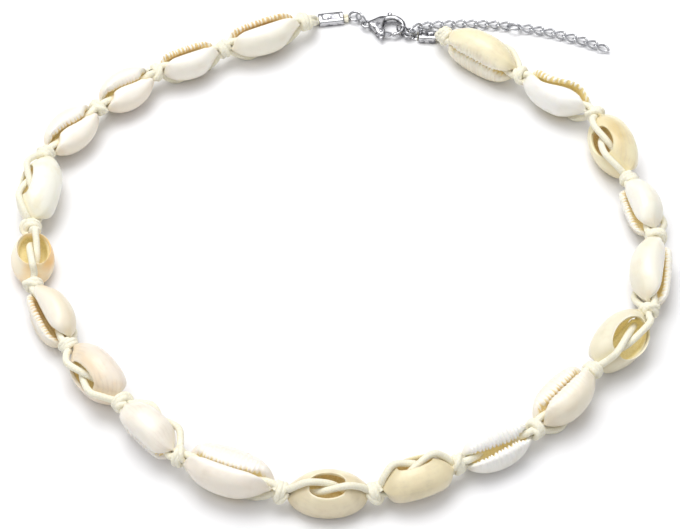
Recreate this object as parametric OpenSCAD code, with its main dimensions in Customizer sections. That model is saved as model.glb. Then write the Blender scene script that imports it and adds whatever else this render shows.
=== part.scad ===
// Cowrie shell necklace: twenty cut shells knotted on two cotton strands, with a lobster clasp
// and a free extension chain. Millimetres. +Z is up, -Y is the front of the loop.

/* [Cord] */
// Diameter of each of the two strands
cord_d = 1.3; // [1.2:0.05:1.4]
// Length of loop that a knot takes between two shells
knot_gap = 2.9; // [2.8:0.1:3.4]
// Diameter of the cord as it wraps a knot
wrap_d = 1.2; // [1.1:0.05:1.25]
// Diameter of a strand where a crimp squeezes it
squeezed_d = 1; // [0.8:0.05:1.05]

/* [Shells] */
// Thickness of a shell's wall
wall = 0.9; // [0.7:0.1:1]
// Width of the slit between the lips
slit_w = 2; // [1.9:0.1:2.2]

/* [Clasp] */
// Radius of the hook's centre line
hook_r = 2.75; // [2.7:0.05:3]
// Diameter of the hook's bar
hook_d = 1.4; // [1.2:0.1:1.5]
// Distance from the middle of the hook to the middle of the eye
eye_reach = 6.2; // [6:0.1:7]
// Thickness of the clasp's body
clasp_t = 2.2; // [2:0.1:2.4]
// Height of the clasp's middle plane
clasp_z = 1.4; // [1.3:0.05:1.8]
// Thickness of the lever
lever_t = 0.8; // [0.6:0.1:1]

/* [Crimps and rings] */
// Length of the left crimp
crimp_left_l = 6.2; // [5:0.1:7]
// Length of the right crimp
crimp_right_l = 4.3; // [4:0.1:4.5]
// Width of a crimp
crimp_w = 3; // [2.9:0.1:3.4]
// Height of a crimp
crimp_h = 1.8; // [1.75:0.05:2.2]
// Thickness of a crimp's sheet
sheet = 0.35; // [0.3:0.05:0.35]
// Wire diameter of a crimp's loop
loop_wire = 0.6; // [0.5:0.05:0.65]
// Wire diameter of a jump ring
jump_wire = 0.5; // [0.4:0.05:0.55]

/* [Extension chain] */
// Number of links
links = 19; // [12:1:20]
// Wire diameter of a link
link_wire = 0.55; // [0.45:0.05:0.6]
// Distance from one link to the next
link_pitch = 2.7; // [2.6:0.05:2.8]
// Bend of the chain at each link, in degrees
link_bend = 2.2; // [0:0.1:2.5]

/* [Hidden] */

// Columns of the table of shells: distance from knot to knot, direction of the string seen from
// above, turn of the slit from up towards the outside of the loop, width, height, and the
// length and width of the hole in the back
PITCH = 0;
HEADING = 1;
ROLL = 2;
WIDTH = 3;
HEIGHT = 4;
HOLE_L = 5;
HOLE_W = 6;
SHELLS = [
    [21.0, 205,   12, 10.6, 7.6, 8.0, 4.8],
    [17.5, 205,    8,  9.6, 7.0, 7.0, 4.4],
    [17.0, 221,  -22,  9.6, 7.0, 7.0, 4.4],
    [18.0, 232,  -18,  9.8, 7.2, 7.4, 4.6],
    [21.5, 266, -136, 10.8, 7.8, 8.2, 4.6],
    [16.0, 276,  172,  9.6, 7.0, 8.4, 7.0],
    [19.0, 298,   42, 10.2, 7.4, 7.6, 4.8],
    [19.5, 309, -116, 10.2, 7.4, 7.8, 4.8],
    [18.5, 313,   98, 10.0, 7.2, 7.4, 4.6],
    [22.5, 339,  -18, 11.0, 8.0, 8.8, 5.0],
    [19.5, 360, -172, 10.4, 7.4, 7.4, 5.4],
    [18.5, 381,  148, 10.0, 7.2, 7.6, 4.8],
    [18.5, 388,   30,  9.4, 6.8, 7.4, 4.4],
    [20.0, 409,  -28, 10.4, 7.6, 7.8, 4.8],
    [20.5, 410, -140, 10.6, 7.4, 10.2, 7.8],
    [20.5, 442,   48, 11.2, 8.0, 8.2, 5.0],
    [17.5, 465,  -62, 10.2, 7.4, 7.2, 4.6],
    [20.5, 468,  135, 10.6, 7.6, 7.4, 5.2],
    [20.5, 504,   10, 10.4, 7.6, 8.0, 4.8],
    [22.0, 503,  -92, 11.0, 7.8, 8.6, 5.0]];
// Where the first knot lies, before the loop is centred, and the height of the two end knots
first_knot = [-9, 62.9];
end_knot_z = 4.9;
// Middle of the loop's bounding box, which becomes the origin
centre = [0.05, -2.23];

// Knots, in order along the string
KNOTS = [for (k = 0, p = first_knot; k <= 20;
              p = k < 20 ? p + SHELLS[k][PITCH] * heading_of(SHELLS[k][HEADING]) : p, k = k + 1) p];
function heading_of(h) = [cos(h), sin(h)];

function numbered(word, i) = str(word, "_", i < 10 ? "0" : "", i);
function turn_x(p, r) = [p.x, p.y * cos(r) - p.z * sin(r), p.y * sin(r) + p.z * cos(r)];
function turn_z(p, h) = [p.x * cos(h) - p.y * sin(h), p.x * sin(h) + p.y * cos(h), p.z];
function unit(v) = v / norm(v);
function mix(a, b, t) = a + (b - a) * t;

// Columns around one quarter of a shell, from its end to its side: share of the half length,
// share of the half width, how far the canal at the end draws the column down, and how far the
// slit's bend and the inner whorl move it
ALONG = 0;
ACROSS = 1;
CANAL = 2;
MIDDLE = 3;
QUARTER = [[1, 0, 1, 0], [0.93, 0.24, 0.6, 0.3], [0.72, 0.64, 0.2, 0.8], [0.25, 0.97, 0, 1]];
function column(j) =
    let (q = floor(j / 4), c = QUARTER[q % 2 == 0 ? j % 4 : 3 - j % 4])
    [c[ALONG] * (q == 0 || q == 3 ? 1 : -1), c[ACROSS], c[CANAL], c[MIDDLE], q < 2 ? 1 : -1];

// Rows of a shell from the rim of the hole, over the back and side, round the lips and up the
// inside: half length, half width, height, height in the end canal, bend, and inner whorl
function shell_rows(s) =
    let (a = (s[PITCH] - knot_gap) / 2, b = s[WIDTH] / 2, h = s[HEIGHT],
         hole_a = s[HOLE_L] / 2, hole_b = s[HOLE_W] / 2, slit = slit_w / 2)
    [[hole_a + 0.1, hole_b + 0.3, -0.5 * h, -0.5 * h, 0, 0],
     [0.77 * a, 0.82 * b, -0.31 * h, -0.3 * h, 0, 0],
     [0.91 * a, 0.98 * b, -0.04 * h, -0.14 * h, 0, 0],
     [a, b, 0.14 * h, -0.05 * h, 0, 0],
     [0.97 * a, 0.9 * b, 0.34 * h, 0, 0, 0],
     [0.93 * a, 0.64 * b, 0.47 * h, 0.01 * h, 0.1, 0],
     [0.89 * a, slit + 0.9, 0.5 * h, -0.01 * h, 0.4, 0],
     [0.84 * a, slit, 0.5 * h - 0.8, -0.03 * h, 0.5, 0],
     [0.78 * a, slit + 0.3, 0.5 * h - 1.6, -0.06 * h, 0.5, 0.04],
     [0.74 * a, 0.6 * b, 0.2 * h, -0.1 * h, 0.2, 0.28],
     [0.74 * a, b - wall, -0.05 * h, -0.16 * h, 0, 0.1],
     [0.67 * a, 0.82 * b - wall, -0.31 * h + 0.45, -0.23 * h, 0, 0],
     [hole_a, hole_b, 0.8 - 0.5 * h, 0.8 - 0.5 * h, 0, 0]];
function shell_point(s, row, c) =
    let (edge = 0.95 * slit_w / 2)
    [row[0] * c[ALONG],
     c[4] * mix(edge, row[1], c[ACROSS]) - row[4] * c[MIDDLE],
     mix(row[2], row[3], c[CANAL]) - (c[4] > 0 ? row[5] * s[HEIGHT] * c[MIDDLE] : 0)];
function shell_points(s) = [for (row = shell_rows(s)) for (j = [0:15]) shell_point(s, row, column(j))];

// Route of a strand through a shell: in over the back's rim, across the hole, down inside
// and out along the canal at the other end. The second strand takes the same way turned about.
function strand_route(s) =
    let (a = (s[PITCH] - knot_gap) / 2, h = s[HEIGHT], hole_a = s[HOLE_L] / 2, out = a - 0.12,
         shoulder = [-0.77 * a, -0.31 * h], rim = [-hole_a - 0.1, -0.5 * h],
         slope = unit(rim - shoulder), off = [slope.y, -slope.x], clear = cord_d / 2 + 0.09,
         low = shoulder + clear * off, edge = rim + clear * unit(off + [0, -1]))
    [[-out - 0.05, 0, -1.3],
     [-0.96 * a, 0, -0.14 * h - 0.65],
     [low.x, 0, low.y],
     [edge.x, -0.4, edge.y],
     [0, -0.8, -0.5 * h + 0.7],
     [0.6 * hole_a, -0.6, -0.5 * h + 2.2],
     [0.6 * a, 0, 0.06 * h],
     [0.8 * a, 0, 1],
     [out, 0, 1.2]];
// How far each point of the route follows the knots' heights instead of the shell's
TO_KNOT = [0.7, 0.1, 0, 0, 0, 0, 0, 0.1, 0.7];

// Height of each shell's middle, so that the shell or the strands below it rest on the ground
LIFTS = [for (s = SHELLS)
    -min(min([for (p = shell_points(s)) turn_x(p, s[ROLL]).z]),
         min([for (p = strand_route(s)) for (way = [-1, 1])
              turn_x([p.x, way * p.y, p.z], s[ROLL]).z - cord_d / 2]))];
function knot_z(k) = k == 0 || k == 20 ? end_knot_z : (LIFTS[k - 1] + LIFTS[k]) / 2;
function knot_heading(k) =
    (SHELLS[max(k - 1, 0)][HEADING] + SHELLS[min(k, 19)][HEADING]) / 2;
function shell_middle(i) = let (m = (KNOTS[i] + KNOTS[i + 1]) / 2) [m.x, m.y, LIFTS[i]];
function placed(p, i) = turn_z(turn_x(p, SHELLS[i][ROLL]), SHELLS[i][HEADING]) + shell_middle(i);

// Faces of rows of points, each row closed round; "loop" joins the last row to the first
function row_faces(rows, n, loop) =
    [for (r = [0:rows - (loop ? 1 : 2)]) for (j = [0:n - 1])
        let (a = r * n + j, b = r * n + (j + 1) % n, c = ((r + 1) % rows) * n + (j + 1) % n,
             d = ((r + 1) % rows) * n + j)
        each [[a, b, c], [a, c, d]]];

module centred() translate([-centre.x, -centre.y, 0]) children();

module shell(i) {
    points = [for (p = shell_points(SHELLS[i])) placed(p, i)];
    color("ivory") centred() polyhedron(points, row_faces(13, 16, true));
}

// Tube along points, with a radius for each and one side direction for all
tube_sides = 8;
module tube(points, radii, side) {
    last = len(points) - 1;
    rings = [for (k = [0:last])
        let (along = unit(points[min(k + 1, last)] - points[max(k - 1, 0)]),
             u = unit(side - (side * along) * along), v = cross(along, u))
        for (j = [0:tube_sides - 1])
            let (t = 360 * j / tube_sides)
            points[k] + radii[k] * (cos(t) * u + sin(t) * v)];
    start_cap = [[for (j = [0:tube_sides - 1]) j]];
    end_cap = [[for (j = [tube_sides - 1:-1:0]) last * tube_sides + j]];
    polyhedron(rings, concat(start_cap, end_cap,
        [for (f = row_faces(last + 1, tube_sides, false)) [f[0], f[2], f[1]]]));
}

// One strand through one shell; way is 1 for the first strand and -1 for the second
module strand_in_shell(i, way) {
    s = SHELLS[i];
    route = strand_route(s);
    points = [for (k = [0:len(route) - 1])
        let (q = route[k], end = (q.x * way < 0) ? i : i + 1)
        placed([q.x * way, q.y * way, q.z], i) + [0, 0, TO_KNOT[k] * (knot_z(end) - LIFTS[i])]];
    side = turn_z(turn_x([0, 1, 0], s[ROLL]), s[HEADING]);
    tube(points, [for (q = route) cord_d / 2], side);
}

// Three wraps of cord round the string
module knot(k) {
    color("cornsilk") centred()
        translate([KNOTS[k].x, KNOTS[k].y, knot_z(k)]) rotate([0, 90, knot_heading(k)])
            rotate_extrude($fn = 32) {
                translate([1.65, 0]) circle(d = wrap_d, $fn = 24);
                translate([1.3, 0.48]) circle(d = wrap_d, $fn = 24);
                translate([1.3, -0.48]) circle(d = wrap_d, $fn = 24);
                translate([0, -1]) square([1.4, 2]);
            }
}

// Crimps: mouth where the strands enter, direction towards the clasp, and the neck's length
left_mouth = [-5.7, 67.1];
left_heading = 8;
left_neck = 1.35;
right_mouth = [22.59, 61.68];
right_heading = 177;
right_neck = 1.74;
left_loop_r = 1.45;
right_loop_r = 0.76;
loop_z = [1.2, 1.3];

module crimp(length, neck, loop_r, z) {
    bore_h = crimp_h - 2 * sheet;
    bore_w = crimp_w - 2 * sheet;
    loop_x = length + neck + loop_r;
    rotate([90, 0, 90]) linear_extrude(length) difference() {
        translate([-crimp_w / 2, 0]) square([crimp_w, crimp_h]);
        translate([-bore_w / 2, sheet]) square([bore_w, bore_h]);
        polygon([[-0.45, crimp_h / 2], [-0.2, crimp_h / 2], [0.35, crimp_h + 1], [0.1, crimp_h + 1]]);
    }
    translate([length - sheet, -0.5, 0]) cube([neck + sheet + 0.1, 1, sheet]);
    translate([length + neck - 0.25, -0.5, 0]) cube([0.5, 1, z]);
    translate([loop_x, 0, z]) rotate_extrude($fn = 48) translate([loop_r, 0]) circle(d = loop_wire, $fn = 24);
}

module crimp_left() color("silver") centred()
    translate([left_mouth.x, left_mouth.y, 0]) rotate([0, 0, left_heading])
        crimp(crimp_left_l, left_neck, left_loop_r, loop_z[0]);

module crimp_right() color("silver") centred()
    translate([right_mouth.x, right_mouth.y, 0]) rotate([0, 0, right_heading])
        crimp(crimp_right_l, right_neck, right_loop_r, loop_z[1]);

// A strand from an end knot into its crimp, squeezed inside it, with a short stub beyond
module strand_end(k, mouth, heading, length, stub, side) {
    ahead = heading_of(heading);
    aside = [-ahead.y, ahead.x, 0];
    out = (k == 0 ? -1 : 1) * heading_of(knot_heading(k));
    start = [KNOTS[k].x + 1.65 * out.x, KNOTS[k].y + 1.65 * out.y, knot_z(k)];
    bore_z = crimp_h / 2;
    inside = [mouth.x, mouth.y, bore_z];
    forward = [ahead.x, ahead.y, 0];
    loose = cord_d / 2;
    tight = squeezed_d / 2;
    across = [-out.y, out.x, 0];
    before = inside - 0.9 * forward + [0, 0, 0.25];
    centre_line = [start, mix(start, before, 0.5), before, inside - 0.15 * forward,
                   inside + (length - 0.5) * forward, inside + (length + stub) * forward];
    tail = stub > 0 ? loose - 0.05 : tight;
    spread = [0.76, 0.8, 0.82, 0.58, 0.58, tail + 0.05];
    points = [for (n = [0:5]) centre_line[n] + side * spread[n] * (n < 2 ? across : aside)];
    tube(points, [loose, loose, loose, tight, tight, tail], [0, 0, 1]);
}

module strand(way) color("oldlace") centred() {
    for (i = [0:19]) strand_in_shell(i, way);
    strand_end(0, left_mouth, left_heading, crimp_left_l, 1, way);
    strand_end(20, right_mouth, right_heading, crimp_right_l, -0.15, way);
}
module strand_a() strand(1);
module strand_b() strand(-1);

// Clasp: middle of the hook, direction from the eye to the hook, and the lever's pivot
hook_at = [11.95, 64.6];
clasp_heading = -8;
pivot_at = [-2.3, -2.5];
pin_d = 0.7;
pivot_play = 0.06;
slot_t = lever_t + 0.16;
tip_angle = -80;

module clasp_frame() centred()
    translate([hook_at.x, hook_at.y, clasp_z]) rotate([0, 0, clasp_heading]) children();

module clasp_body() color("silver") clasp_frame() {
    // hook
    rotate([0, 0, tip_angle]) rotate_extrude(angle = 150 - tip_angle, $fn = 72)
        translate([hook_r, 0]) circle(d = hook_d, $fn = 32);
    difference() {
        translate([0, 0, -clasp_t / 2]) linear_extrude(clasp_t) {
            polygon([[-5.6, 0.5], [-4.3, 1.5], [-3.3, 2.3], [-2.2, 2.7], [-1.6, 2.4], [-1.9, 1.2],
                     [-2.05, 0], [-1.9, -1.2], [-1.3, -2.2], [-1.35, -3.2], [-2.3, -3.6],
                     [-3.3, -3], [-4.3, -1.6], [-5.6, -0.5]]);
        }
        // slot for the lever, cut through the near side
        translate([pivot_at.x, pivot_at.y, -slot_t / 2]) cylinder(r = 1.15, h = slot_t, $fn = 32);
        translate([pivot_at.x, pivot_at.y - 2, -slot_t / 2]) cube([3, 4.2, slot_t]);
        translate([pivot_at.x - 1.15, pivot_at.y - 2, -slot_t / 2]) cube([1.15, 2, slot_t]);
    }
    // pivot pin
    translate([pivot_at.x, pivot_at.y, -clasp_t / 2]) cylinder(d = pin_d, h = clasp_t, $fn = 32);
    // eye
    translate([-eye_reach, 0, 0]) rotate_extrude($fn = 48) translate([0.95, 0]) circle(d = 0.6, $fn = 24);
    // knob on the back of the hook
    translate([-0.95, hook_r + hook_d / 2 - 0.4, 0]) rotate([-90, 0, 0]) cylinder(d = 1.2, h = 1.3, $fn = 32);
}

module clasp_lever() color("silver") clasp_frame() difference() {
    translate([0, 0, -lever_t / 2]) linear_extrude(lever_t) {
        translate(pivot_at) circle(r = 1, $fn = 32);
        translate([pivot_at.x, pivot_at.y - 0.5]) square([2.5, 1]);
        translate([pivot_at.x - 0.1, pivot_at.y - 1.9]) square([0.8, 1.9]);
    }
    translate([pivot_at.x, pivot_at.y, -lever_t]) cylinder(d = pin_d + 2 * pivot_play, h = 2 * lever_t, $fn = 32);
}

// Jump rings stand on edge: middle, direction of their plane seen from above, radius
left_ring_at = [4.57, 66.76];
left_ring_heading = -45;
left_ring_r = 1.55;
right_ring_at = [14.57, 62.94];
right_ring_heading = -32.3;
right_ring_r = 1.6;

module jump_ring(at, heading, r) color("silver") centred()
    translate([at.x, at.y, r + jump_wire / 2]) rotate([90, 0, heading])
        rotate_extrude($fn = 48) translate([r, 0]) circle(d = jump_wire, $fn = 24);
module jump_ring_left() jump_ring(left_ring_at, left_ring_heading, left_ring_r);
module jump_ring_right() jump_ring(right_ring_at, right_ring_heading, right_ring_r);

// Oval link along X, made of two half rings and two bars
module link(inner_l, inner_w, wire) {
    bend_r = (inner_w + wire) / 2;
    bar = inner_l - inner_w;
    for (end = [-1, 1]) {
        translate([end * bar / 2, 0, 0]) rotate([0, 0, -90 * end])
            rotate_extrude(angle = 180, $fn = 48) translate([bend_r, 0]) circle(d = wire, $fn = 16);
        translate([-bar / 2, end * bend_r, 0]) rotate([0, 90, 0]) cylinder(d = wire, h = bar, $fn = 16);
    }
}

link_inner_w = 1.3;
link_inner_l = link_pitch + 0.12;
link_roll = 45;
link_rest_z = (link_inner_w + link_wire) / 2 * sin(link_roll) + link_wire / 2;
// One link further along is a bigger round ring
round_link = 10;
round_link_r = (link_inner_l + link_wire) / 2;
round_link_roll = -25;
round_link_z = round_link_r * sin(-round_link_roll) + link_wire / 2;
// The first link leans on the right jump ring and the second bends round to the chain
first_link_at = [16.29, 62.8, 1.74];
first_link_turn = [1.6, 29.5, 60.1];
second_link_at = [17.92, 64.26, link_rest_z];
second_link_turn = [link_roll, 0, 43.8];
// The rest lies on the ground, bending a little at each link
chain_start = [20, 65.21];
chain_heading = 8.2;
LINKS = [for (n = 2, p = chain_start; n < links;
              p = p + link_pitch * heading_of(chain_heading - link_bend * (n - 1.5)), n = n + 1) p];

module turned(turn) rotate([0, turn.y, turn.z]) rotate([turn.x, 0, 0]) children();

module extension_chain() color("silver") centred() {
    translate(first_link_at) turned(first_link_turn) link(link_inner_l, link_inner_w, link_wire);
    translate(second_link_at) turned(second_link_turn) link(link_inner_l, link_inner_w, link_wire);
    for (n = [2:links - 1]) {
        at = LINKS[n - 2];
        heading = chain_heading - link_bend * (n - 2);
        if (n == round_link)
            translate([at.x, at.y, round_link_z]) turned([round_link_roll, 0, heading])
                rotate_extrude($fn = 48) translate([round_link_r, 0]) circle(d = link_wire, $fn = 16);
        else
            translate([at.x, at.y, link_rest_z]) turned([n % 2 == 0 ? -link_roll : link_roll, 0, heading])
                link(link_inner_l, link_inner_w, link_wire);
    }
}

for (i = [1:20]) shell(i - 1);
for (k = [0:20]) knot(k);
strand_a();
strand_b();
crimp_left();
crimp_right();
jump_ring_left();
jump_ring_right();
clasp_body();
clasp_lever();
extension_chain();
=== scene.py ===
# Cowrie shell necklace: twenty cut shells knotted on two cotton strands, laid in a loop on a pale floor
import math
from collections import namedtuple

import bmesh
import bpy
from mathutils import Matrix, Vector


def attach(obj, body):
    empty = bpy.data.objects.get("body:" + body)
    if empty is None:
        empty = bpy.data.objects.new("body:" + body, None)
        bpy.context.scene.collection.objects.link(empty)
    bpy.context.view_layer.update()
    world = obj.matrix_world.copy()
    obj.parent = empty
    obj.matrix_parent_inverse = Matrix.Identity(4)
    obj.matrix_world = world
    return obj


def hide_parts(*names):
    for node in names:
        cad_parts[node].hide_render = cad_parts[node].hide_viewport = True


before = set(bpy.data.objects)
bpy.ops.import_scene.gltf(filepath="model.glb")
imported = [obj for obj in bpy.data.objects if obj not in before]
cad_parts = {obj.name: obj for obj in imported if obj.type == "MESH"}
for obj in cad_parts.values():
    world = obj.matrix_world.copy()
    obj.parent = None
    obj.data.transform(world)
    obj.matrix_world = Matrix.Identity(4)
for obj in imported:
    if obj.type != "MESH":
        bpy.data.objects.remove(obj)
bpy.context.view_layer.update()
MM = 0.001

# The string, as in the part's source, in millimetres and degrees: pitch from knot to knot, heading,
# roll of the slit from up towards the outside, width, height, hole length and hole width
Shell = namedtuple("Shell", "pitch heading roll width height hole_l hole_w")
SHELLS = [Shell(*row) for row in (
    (21.0, 205, 12, 10.6, 7.6, 8.0, 4.8),
    (17.5, 205, 8, 9.6, 7.0, 7.0, 4.4),
    (17.0, 221, -22, 9.6, 7.0, 7.0, 4.4),
    (18.0, 232, -18, 9.8, 7.2, 7.4, 4.6),
    (21.5, 266, -136, 10.8, 7.8, 8.2, 4.6),
    (16.0, 276, 172, 9.6, 7.0, 8.4, 7.0),
    (19.0, 298, 42, 10.2, 7.4, 7.6, 4.8),
    (19.5, 309, -116, 10.2, 7.4, 7.8, 4.8),
    (18.5, 313, 98, 10.0, 7.2, 7.4, 4.6),
    (22.5, 339, -18, 11.0, 8.0, 8.8, 5.0),
    (19.5, 360, -172, 10.4, 7.4, 7.4, 5.4),
    (18.5, 381, 148, 10.0, 7.2, 7.6, 4.8),
    (18.5, 388, 30, 9.4, 6.8, 7.4, 4.4),
    (20.0, 409, -28, 10.4, 7.6, 7.8, 4.8),
    (20.5, 410, -140, 10.6, 7.4, 10.2, 7.8),
    (20.5, 442, 48, 11.2, 8.0, 8.2, 5.0),
    (17.5, 465, -62, 10.2, 7.4, 7.2, 4.6),
    (20.5, 468, 135, 10.6, 7.6, 7.4, 5.2),
    (20.5, 504, 10, 10.4, 7.6, 8.0, 4.8),
    (22.0, 503, -92, 11.0, 7.8, 8.6, 5.0),
)]
SHELL_COUNT = len(SHELLS)
KNOT_GAP = 2.9
CORD_D = 1.3
CORD_R = 0.76
WALL = 0.9
SLIT_W = 2.0
END_KNOT_Z = 4.9
FIRST_KNOT = Vector((-9, 62.9, 0))
CENTRE = Vector((0.05, -2.23, 0))

# Lips of the shells: teeth, depth of the teeth on the outer lip and on the inner lip, how far they run
# over the base, how far the gold runs between them, how much the outer lip slants away (the inner lip
# where negative), slit width as a share of the widest, how much wider it is towards its end, bow of
# the slit, its double bend, and which end of the shell is fuller
Lips = namedtuple("Lips", "teeth outer inner run gold_run slant slit_share slit_slope bow double_bend "
                          "fuller")
LIPS = [Lips(*row) for row in (
    (14, 0.75, 0.0, 0.9, 0.85, 1.0, 0.8, -0.1, 0.2, 0.0, 0.7),
    (13, 0.65, 0.0, 0.9, 0.85, 1.0, 0.7, 0.0, 0.1, 0.0, 0.7),
    (13, 0.4, 0.1, 0.1, 0.1, 0.0, 0.15, 0.1, 0.5, 0.4, 0.4),
    (12, 0.5, 0.1, 0.2, 0.2, 0.2, 0.22, 0.1, 0.5, 0.5, 0.3),
    (12, 0.6, 0.3, 0.5, 0.3, 0.0, 0.5, 0.0, 0.3, 0.0, 0.2),
    (11, 0.4, 0.2, 0.5, 0.3, 0.0, 0.2, 0.0, 0.3, 0.0, 0.0),
    (14, 0.9, 0.0, 0.7, 0.2, 0.7, 0.65, 0.1, 0.5, 0.1, 0.8),
    (12, 0.6, 0.3, 0.5, 0.3, 0.0, 0.5, 0.0, 0.3, 0.0, 0.4),
    (12, 1.0, 0.3, 0.9, 0.0, 0.6, 0.3, 0.0, 0.3, 0.0, -0.5),
    (16, 0.0, 0.7, 0.9, 0.0, 0.0, 0.3, 0.4, 1.4, 0.0, -0.4),
    (12, 0.6, 0.3, 0.5, 0.3, 0.0, 0.5, 0.0, 0.3, 0.0, 0.2),
    (12, 0.6, 0.3, 0.5, 0.3, 0.0, 0.5, 0.0, 0.3, 0.0, 0.0),
    (14, 1.3, 1.1, 1.7, 0.0, 0.3, 0.65, -0.8, 0.4, 0.0, -0.4),
    (13, 0.7, 1.0, 0.9, 0.2, 0.0, 0.4, 0.3, 0.3, 0.1, 0.3),
    (12, 0.1, 0.1, 0.5, 0.0, 0.0, 0.1, 0.0, 0.3, 0.0, -0.3),
    (15, 1.0, 0.2, 0.9, 0.0, 0.7, 0.6, -0.6, 0.4, 0.1, 0.4),
    (15, 0.2, 0.9, 1.2, 0.1, -0.8, 0.5, -0.5, -0.6, 0.1, 0.5),
    (12, 0.6, 0.3, 0.5, 0.3, 0.0, 0.5, 0.0, 0.3, 0.0, 0.3),
    (11, 1.2, 0.0, 0.9, 0.85, 1.0, 1.1, -0.3, 0.1, -1.2, 0.8),
    (16, 0.9, 0.9, 1.4, 0.0, 0.0, 0.1, 0.0, 0.6, 0.0, 0.2),
)]

# Colours of the shells: strength of the growth lines, body, a tan painted as shade low on the shell
# that also tints its ends and clouds, how tan the gold is, and how much the tan stains one flank beside
# the hole (the inner flank where positive)
Coat = namedtuple("Coat", "lines body under tan stain")
COATS = [Coat(*row) for row in (
    (0.1, (253, 247, 230), (238, 221, 190), 0.9, 0.0),
    (0.1, (253, 247, 234), (238, 220, 196), 0.7, 0.0),
    (0.1, (250, 239, 221), (236, 217, 193), 0.3, 0.0),
    (0.1, (251, 241, 223), (238, 220, 193), 0.6, 0.0),
    (0.1, (251, 249, 234), (232, 216, 160), 0.4, 0.0),
    (0.1, (253, 240, 214), (248, 198, 116), 0.15, -1.0),
    (0.1, (240, 229, 204), (226, 206, 170), 1.0, 0.0),
    (0.4, (241, 230, 214), (228, 198, 146), 0.5, -0.45),
    (0.25, (248, 240, 226), (222, 208, 188), 0.4, 0.0),
    (0.1, (246, 237, 222), (210, 196, 172), 0.3, 0.0),
    (0.2, (244, 232, 200), (178, 160, 122), 0.7, 0.0),
    (0.2, (240, 227, 190), (172, 158, 124), 0.7, 0.0),
    (0.0, (251, 249, 242), (218, 210, 190), 0.2, 0.0),
    (0.1, (243, 234, 212), (220, 203, 172), 0.6, 0.0),
    (0.1, (240, 233, 208), (206, 194, 154), 0.0, 0.0),
    (0.1, (248, 242, 222), (226, 207, 170), 0.4, 0.0),
    (0.1, (249, 245, 228), (226, 209, 174), 0.5, 0.0),
    (0.3, (247, 237, 200), (212, 188, 128), 0.8, 0.6),
    (0.0, (253, 251, 243), (232, 224, 202), 0.2, 0.0),
    (0.2, (246, 235, 198), (202, 184, 136), 0.4, 0.0),
)]


def mix(a, b, t):
    return a + (b - a) * t


def smooth(x, low, high):
    t = min(1, max(0, (x - low) / (high - low)))
    return t * t * (3 - 2 * t)


def bell(x, middle, spread):
    return math.exp(-(((x - middle) / spread) ** 2))


def tint(colour):
    """A colour seen on a screen, 0 to 255, as linear light."""
    return tuple((c / 255 / 12.92) if c < 11 else ((c / 255 + 0.055) / 1.055) ** 2.4 for c in colour)


def turned(p, axis, degrees):
    return Matrix.Rotation(math.radians(degrees), 3, axis) @ Vector(p)


def heading_of(degrees):
    return turned((1, 0, 0), "Z", degrees)


def spline(points, t):
    """Point on a smooth curve through the points, with t counted in points."""
    k = min(int(t), len(points) - 2)
    f = t - k
    p1, p2 = points[k], points[k + 1]
    p0 = points[k - 1] if k else p1
    p3 = points[min(k + 2, len(points) - 1)]
    shares = (
        -0.5 * f + f * f - 0.5 * f ** 3,
        1 - 2.5 * f * f + 1.5 * f ** 3,
        0.5 * f + 2 * f * f - 1.5 * f ** 3,
        -0.5 * f * f + 0.5 * f ** 3,
    )
    return [sum(share * p[n] for share, p in zip(shares, (p0, p1, p2, p3))) for n in range(len(p1))]


# Node trees: sockets with arithmetic, and one call for every node
class Socket:
    def __init__(self, finish, link):
        self.finish, self.link = finish, link

    def math(self, operation, a, b=0.0):
        return self.finish.node("ShaderNodeMath", {"operation": operation}, {0: a, 1: b})

    def __add__(self, other):
        return self.math("ADD", self, other)

    def __sub__(self, other):
        return self.math("SUBTRACT", self, other)

    def __rsub__(self, other):
        return self.math("SUBTRACT", other, self)

    def __mul__(self, other):
        return self.math("MULTIPLY", self, other)

    def sine(self):
        return self.math("SINE", self)

    __radd__, __rmul__ = __add__, __mul__


# Sockets by their place on the node: outputs after the first, and those of a mix of colours
OBJECT_COORDS = 3
ATTRIBUTE_VECTOR = 1
MIX_SHARE, MIX_A, MIX_B, MIX_RESULT = 0, 6, 7, 2
# Makes patterns count in millimetres
PER_MM = (1000, 1000, 1000)


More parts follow.
